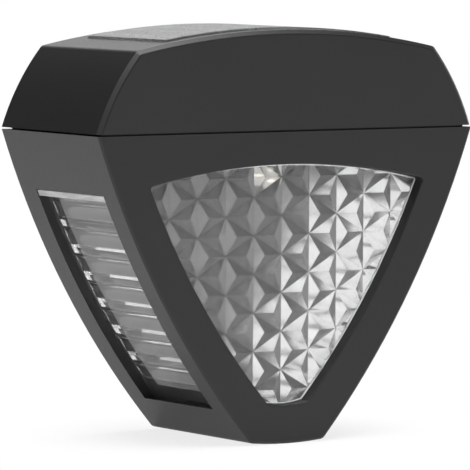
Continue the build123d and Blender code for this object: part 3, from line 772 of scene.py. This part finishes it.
class WALLLIGHT_OT_star_lens(bpy.types.Operator):
    """Makes the star lens with rounded edges between its facets and a thin border round them, with
    painted shade on its facets and edges and a painted glint on the border
    """

    bl_idname = "wall_light.star_lens"
    bl_label = "Star lens"

    def execute(self, context):
        finish = context.scene.wall_light_finishes
        sharp_edge = math.radians(4)
        clear = shaded_facet_plastic(
            "star_lens_painted_facet_shade",
            finish.lens_colour,
            finish.star_haze,
            finish.star_roughness,
        )
        # Rounded edges tinted grey: painted shade along the facet edges
        edges = clear_plastic("star_lens_edges_painted_shade", *CLEAR_PLASTICS["star_lens_edges_painted_shade"])
        mesh = merged_copy("front_lens", "star_lens")
        # Painted shade on the facets, by the way each leans
        paint_facet_shade(mesh)
        lens = new_piece(mesh, clear, "lamp")
        mesh.materials.append(edges)
        ease_edges(lens, finish.star_edge, sharp_edge).material = mesh.materials.find(edges.name)
        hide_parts("front_lens")
        self.add_rim(finish)
        return {"FINISHED"}

    def add_rim(self, finish):
        """Border along the edge of the faceted pad, nearly all milky: a painted glint, the bright line
        that the clear rim shows.
        """
        overlap = 0.05 * MILLIMETRE
        outer = finish.pad_inset - overlap
        inner = outer + finish.rim_width
        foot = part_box("front_lens")[1].y - finish.rim_foot
        top = foot - finish.rim_height
        ease = finish.rim_width / 4
        profile = [
            (outer, foot),
            (outer, top + ease),
            (outer + ease, top),
            (inner - ease, top),
            (inner, top + ease),
            (inner, foot),
        ]
        mesh = rim("star_lens_rim", back_outline("front_lens"), profile)
        # Nearly all milky: painted glint along the rim
        rim_painted_glint = clear_plastic(
            "star_lens_rim_painted_glint",
            finish.lens_colour,
            finish.rim_haze,
            roughness=0.15,
        )
        new_piece(mesh, rim_painted_glint, "lamp")


class WALLLIGHT_OT_side_lenses(bpy.types.Operator):
    """Finishes the ribbed side lenses, frosted along their top bars in a painted highlight"""

    bl_idname = "wall_light.side_lenses"
    bl_label = "Side lenses"

    def execute(self, context):
        finish = context.scene.wall_light_finishes
        frost_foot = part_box("left_lens")[1].z - finish.frost_top
        clear = frost_highlighted_plastic(
            "ribbed_lens_plastic",
            finish.lens_colour,
            finish.rib_haze,
            finish.frost_highlight_haze,
            frost_foot,
        )
        dress(["left_lens", "right_lens"], clear)
        return {"FINISHED"}


class WALLLIGHT_OT_diode(bpy.types.Operator):
    """Finishes the diode with a painted glow in its resin and phosphor, and makes what shows inside it:
    anvil, post, cup, phosphor and wire
    """

    bl_idname = "wall_light.diode"
    bl_label = "Diode"

    def execute(self, context):
        finish = context.scene.wall_light_finishes
        sizes = context.scene.wall_light_diode
        milky = clear_plastic("diode_resin_painted_glow", *CLEAR_PLASTICS["diode_resin_painted_glow"])
        # Painted glow in the milky resin
        self.paint_glow(milky, RESIN_PAINTED_GLOW, sizes.resin_painted_glow)
        dress(["led_lamp"], milky)
        tinned = bare_metal("tinned_wire")
        dress(["led_leads"], tinned)
        low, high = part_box("led_lamp")
        x, y = (low.x + high.x) / 2, (low.y + high.y) / 2
        mouth = low.z + sizes.cup_height
        base = mouth + sizes.cup_depth
        radius, wall = sizes.cup_radius, sizes.cup_wall
        half = sizes.plate_thickness / 2
        left, right = x - sizes.lead_spread, x + sizes.lead_spread
        top = high.z
        shoulder = (base + top) / 2
        # Shares of the cup's radius
        anvil_toe, anvil_heel, post_toe = 0.7, 0.2, 0.95
        cup_foot, cup_waist, cup_floor = 0.8, 0.85, 0.55
        wire_start = 0.3
        anvil = plate(
            "diode_anvil",
            [
                (left - half, top),
                (left - half, shoulder),
                (x - radius, base),
                (x + radius * anvil_toe, base),
                (x + radius * anvil_heel, shoulder),
                (left + half, top - half),
                (left + half, top),
            ],
            y,
            sizes.plate_thickness,
        )
        post = plate(
            "diode_post",
            [
                (right + half, top),
                (right - half, top),
                (right - half, shoulder),
                (x + radius * post_toe, base + wall),
                (right + half, base + wall),
            ],
            y,
            sizes.plate_thickness,
        )
        cup_profile = [
            (wall, base + wall),
            (radius * cup_foot, base + wall),
            (radius * cup_waist, base),
            (radius, mouth),
            (radius - wall, mouth),
            (radius * cup_floor, base - wall),
            (wall, base - wall),
        ]
        cup = turned("diode_cup", x, y, *zip(*cup_profile))
        gap = 0.1 * wall
        dome_steps = 10
        arc = np.linspace(0.0, np.pi / 2, dome_steps)
        phosphor = turned(
            "diode_phosphor",
            x,
            y,
            np.append(np.cos(arc[:-1]) * (radius - wall - gap), gap),
            mouth - np.sin(arc) * sizes.phosphor_rise,
        )
        wire = bowed_wire(
            "diode_bond_wire",
            (x + radius * wire_start, y, mouth),
            (right, y, base + wall),
            sizes.wire_bow,
            sizes.wire_radius,
        )
        painted_glow_phosphor = moulded_plastic(
            "diode_phosphor_painted_glow",
            finish.phosphor_colour,
            roughness=0.5,
            grain=0.2 * MILLIMETRE,
        )
        # Painted glow in the phosphor
        self.paint_glow(painted_glow_phosphor, PHOSPHOR_PAINTED_GLOW, sizes.glow)
        sharp_edge = math.radians(30)
        for mesh in (anvil, post):
            piece = new_piece(mesh, tinned, "cap")
            ease_edges(piece, sizes.edge_ease, sharp_edge)
        new_piece(cup, tinned, "cap")
        new_piece(wire, bare_metal("gold_wire"), "cap")
        new_piece(phosphor, painted_glow_phosphor, "cap")
        return {"FINISHED"}

    def paint_glow(self, material, colour, strength):
        """Paints a glow into a finish: light of its own, standing in for the unlit diode's highlights.
        """
        shader = material.node_tree.nodes["Principled BSDF"]
        shader.inputs["Emission Color"].default_value = (*colour, 1.0)
        shader.inputs["Emission Strength"].default_value = strength


class WALLLIGHT_OT_solar_panel(bpy.types.Operator):
    """Finishes the solar panel's layers and lays the tinned ribbons on its cells"""

    bl_idname = "wall_light.solar_panel"
    bl_label = "Solar panel"

    def execute(self, context):
        finish = context.scene.wall_light_finishes
        sizes = context.scene.wall_light_panel
        blue = silicon(
            "solar_silicon",
            finish.silicon_colour,
            sizes.finger_pitch,
            sizes.finger_width,
        )
        cast = clear_plastic("panel_resin", *CLEAR_PLASTICS["panel_resin"])
        dress(["solar_cells"], blue)
        dress(["panel_cover"], cast)
        dress_mouldings(PANEL_MOULDINGS)
        low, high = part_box("solar_cells")
        pitch = (high.x - low.x + sizes.cell_gap) / sizes.cells
        length = high.y - low.y
        width, thickness = sizes.ribbon_width, sizes.ribbon_thickness
        middle_y = (low.y + high.y) / 2
        boxes = []
        for cell in range(sizes.cells):
            middle_x = low.x + (cell + 0.5) * pitch - sizes.cell_gap / 2
            for side in (-1, 1):
                ribbon_x = middle_x + side * pitch / 4
                boxes.append((ribbon_x, middle_y, high.z, width, length, thickness))
        laid = ribbons("cell_ribbons", boxes, crown=thickness / 3)
        new_piece(laid, bare_metal("tinned_ribbon"), "cap")
        return {"FINISHED"}


class WALLLIGHT_OT_electronics(bpy.types.Operator):
    """Finishes the circuit board, what it carries, the switch, the battery and the wires"""

    bl_idname = "wall_light.electronics"
    bl_label = "Electronics"

    def execute(self, context):
        board = circuit_lacquer(
            "green_circuit_board",
            colour=(0.01, 0.1, 0.03),
            trace_width=0.6 * MILLIMETRE,
        )
        bare_end = 1.2 * MILLIMETRE
        sleeve_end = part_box("battery_cell")[1].x - bare_end
        sleeve = cell_sleeve("cell_sleeve_green", (0.05, 0.22, 0.1), sleeve_end)
        dress(["circuit_board"], board)
        dress(["switch_case"], bare_metal("switch_case_tin"))
        dress(["battery_cell"], sleeve)
        dress_mouldings(ELECTRIC_MOULDINGS)
        return {"FINISHED"}


class WALLLIGHT_OT_hardware(bpy.types.Operator):
    """Finishes the screws and the battery's contacts"""

    bl_idname = "wall_light.hardware"
    bl_label = "Hardware"

    def execute(self, context):
        dress(["back_screws", "tray_screws", "board_screws"], bare_metal("zinc_plated_steel"))
        dress(["contact_plate", "contact_leaf"], bare_metal("nickel_plate"))
        return {"FINISHED"}


def add_softbox(name, place, width, height, radiance):
    """Square-cornered softbox whose face has the given radiance, pointed at the origin."""
    light = bpy.data.lights.new(name, "AREA")
    light.shape = "RECTANGLE"
    light.size = width
    light.size_y = height
    light.energy = radiance * math.pi * width * height
    lamp = bpy.data.objects.new(name, light)
    lamp.location = place
    lamp.rotation_euler = (Vector() - Vector(place)).to_track_quat("-Z", "Y").to_euler()
    bpy.context.scene.collection.objects.link(lamp)


class WALLLIGHT_OT_studio(bpy.types.Operator):
    """Sets up the floor, the light and the camera"""

    bl_idname = "wall_light.studio"
    bl_label = "Studio"

    def execute(self, context):
        studio = context.scene.wall_light_studio
        self.lay_floor(studio)
        self.light_world(context.scene)
        for name, values in SOFTBOXES.items():
            add_softbox(name, *values)
        self.place_camera(context.scene, studio)
        context.scene.view_settings.view_transform = "Standard"
        return {"FINISHED"}

    def lay_floor(self, studio):
        """Pale floor under the foot: white where nothing shades it, with a soft shadow, and
        clear from below."""
        half = studio.floor_size / 2
        height = cad_box[0].z
        mesh = bpy.data.meshes.new("studio_floor")
        signs = ((-1, -1), (1, -1), (1, 1), (-1, 1))
        corners = [(x * half, y * half, height) for x, y in signs]
        mesh.from_pydata(corners, [], [(0, 1, 2, 3)])
        floor = bpy.data.objects.new("studio_floor", mesh)
        bpy.context.scene.collection.objects.link(floor)
        material = bpy.data.materials.new("pale_floor")
        material.use_nodes = True
        tree = material.node_tree
        tree.nodes.clear()
        output = add_node(tree, "ShaderNodeOutputMaterial")
        matt = add_node(tree, "ShaderNodeBsdfDiffuse", {"Color": PALE})
        glow = add_node(tree, "ShaderNodeEmission", {"Color": WHITE})
        gone = add_node(tree, "ShaderNodeBsdfTransparent")
        blend = add_node(tree, "ShaderNodeMixShader")
        sided = add_node(tree, "ShaderNodeMixShader")
        foot = (0.0, (cad_box[0].y + cad_box[1].y) / 2, height)
        reach = add_node(tree, "ShaderNodeVectorMath", {1: foot}, operation="DISTANCE")
        tree.links.new(add_node(tree, "ShaderNodeTexCoord").outputs["Object"], reach.inputs[0])
        distance = reach.outputs["Value"]
        path = add_node(tree, "ShaderNodeLightPath").outputs
        passed_on = arithmetic(tree, "MAXIMUM", path["Is Glossy Ray"], path["Is Transmission Ray"])
        start, end = studio.shadow_core, studio.shadow_reach
        seen = spread(tree, distance, start, end, studio.floor_glow, 1.0, smooth=True)
        start, end = studio.mirror_near, studio.mirror_far
        mirrored = spread(tree, distance, start, end, studio.floor_mirror, 1.0, smooth=True)
        share = arithmetic(
            tree,
            "MAXIMUM",
            arithmetic(tree, "MULTIPLY", path["Is Camera Ray"], seen),
            arithmetic(tree, "MULTIPLY", passed_on, mirrored),
        )
        tree.links.new(share, blend.inputs["Fac"])
        tree.links.new(matt.outputs["BSDF"], blend.inputs[1])
        tree.links.new(glow.outputs["Emission"], blend.inputs[2])
        from_below = add_node(tree, "ShaderNodeNewGeometry").outputs["Backfacing"]
        tree.links.new(from_below, sided.inputs["Fac"])
        tree.links.new(blend.outputs["Shader"], sided.inputs[1])
        tree.links.new(gone.outputs["BSDF"], sided.inputs[2])
        tree.links.new(sided.outputs["Shader"], output.inputs["Surface"])
        mesh.materials.append(material)

    def light_world(self, scene):
        """White to the camera and through the lenses. Reflections show that white as far as the
        backdrop goes, low down at the back right, and so far it lights the surfaces too."""
        world = bpy.data.worlds.new("studio_world")
        world.use_nodes = True
        scene.world = world
        tree = world.node_tree
        tree.nodes.clear()
        output = add_node(tree, "ShaderNodeOutputWorld")
        direction = add_node(tree, "ShaderNodeTexCoord").outputs["Generated"]
        low_down, to_right, to_back = (
            spread(tree, along(tree, direction, axis), *limits, smooth=True)
            for axis, *limits in BACKDROP
        )
        to_back_right = arithmetic(tree, "MULTIPLY", to_right, to_back)
        backdrop = arithmetic(tree, "MULTIPLY", low_down, to_back_right)
        room = add_node(tree, "ShaderNodeBackground", {"Color": WHITE})
        white = add_node(tree, "ShaderNodeBackground", {"Color": WHITE})
        blend = add_node(tree, "ShaderNodeMixShader")
        path = add_node(tree, "ShaderNodeLightPath").outputs
        straight_on = arithmetic(tree, "MAXIMUM", path["Is Camera Ray"], path["Is Transmission Ray"])
        mirrored = arithmetic(tree, "MULTIPLY", path["Is Glossy Ray"], backdrop)
        not_mirrored = arithmetic(tree, "SUBTRACT", 1.0, path["Is Glossy Ray"])
        tree.links.new(arithmetic(tree, "MULTIPLY", backdrop, not_mirrored), room.inputs["Strength"])
        tree.links.new(arithmetic(tree, "MAXIMUM", straight_on, mirrored), blend.inputs["Fac"])
        tree.links.new(room.outputs["Background"], blend.inputs[1])
        tree.links.new(white.outputs["Background"], blend.inputs[2])
        tree.links.new(blend.outputs["Shader"], output.inputs["Surface"])

    def place_camera(self, scene, studio):
        """Camera turned by yaw, tipped by pitch and rolled, from its place."""
        yaw, pitch, roll = studio.camera_yaw, studio.camera_pitch, studio.camera_roll
        look = Vector(
            (
                math.sin(yaw) * math.cos(pitch),
                math.cos(yaw) * math.cos(pitch),
                -math.sin(pitch),
            )
        )
        level = Vector((math.cos(yaw), -math.sin(yaw), 0.0))
        upright = level.cross(look)
        right = math.cos(roll) * level + math.sin(roll) * upright
        up = math.cos(roll) * upright - math.sin(roll) * level
        data = bpy.data.cameras.new("photo_camera")
        data.sensor_width = SENSOR_WIDTH
        data.lens = studio.camera_lens
        camera = bpy.data.objects.new("photo_camera", data)
        turn = Matrix((right, up, -look)).transposed().to_4x4()
        camera.matrix_world = Matrix.Translation(studio.camera_place) @ turn
        scene.collection.objects.link(camera)
        scene.camera = camera


STEPS = (
    WALLLIGHT_OT_mouldings,
    WALLLIGHT_OT_star_lens,
    WALLLIGHT_OT_side_lenses,
    WALLLIGHT_OT_diode,
    WALLLIGHT_OT_solar_panel,
    WALLLIGHT_OT_electronics,
    WALLLIGHT_OT_hardware,
    WALLLIGHT_OT_studio,
)

GROUPS = {
    "wall_light_finishes": WallLightFinishes,
    "wall_light_diode": WallLightDiode,
    "wall_light_panel": WallLightPanel,
    "wall_light_studio": WallLightStudio,
}


class WALLLIGHT_PT_sidebar(bpy.types.Panel):
    """Lists the steps that dress the light, and their sizes and colours"""

    bl_idname = "WALLLIGHT_PT_sidebar"
    bl_label = "Solar wall light"
    bl_space_type = "VIEW_3D"
    bl_region_type = "UI"
    bl_category = "Wall light"

    def draw(self, context):
        for step in STEPS:
            self.layout.operator(step.bl_idname)
        for label, group in GROUPS.items():
            for name in group.__annotations__:
                self.layout.prop(getattr(context.scene, label), name)


CLASSES = (*GROUPS.values(), *STEPS, WALLLIGHT_PT_sidebar)


def register():
    for made in CLASSES:
        bpy.utils.register_class(made)
    for label, group in GROUPS.items():
        setattr(bpy.types.Scene, label, bpy.props.PointerProperty(type=group))


def unregister():
    for label in GROUPS:
        delattr(bpy.types.Scene, label)
    for made in reversed(CLASSES):
        bpy.utils.unregister_class(made)


def main():
    register()
    for step in STEPS:
        area, name = step.bl_idname.split(".")
        getattr(getattr(bpy.ops, area), name)()


if __name__ == "__main__":
    main()
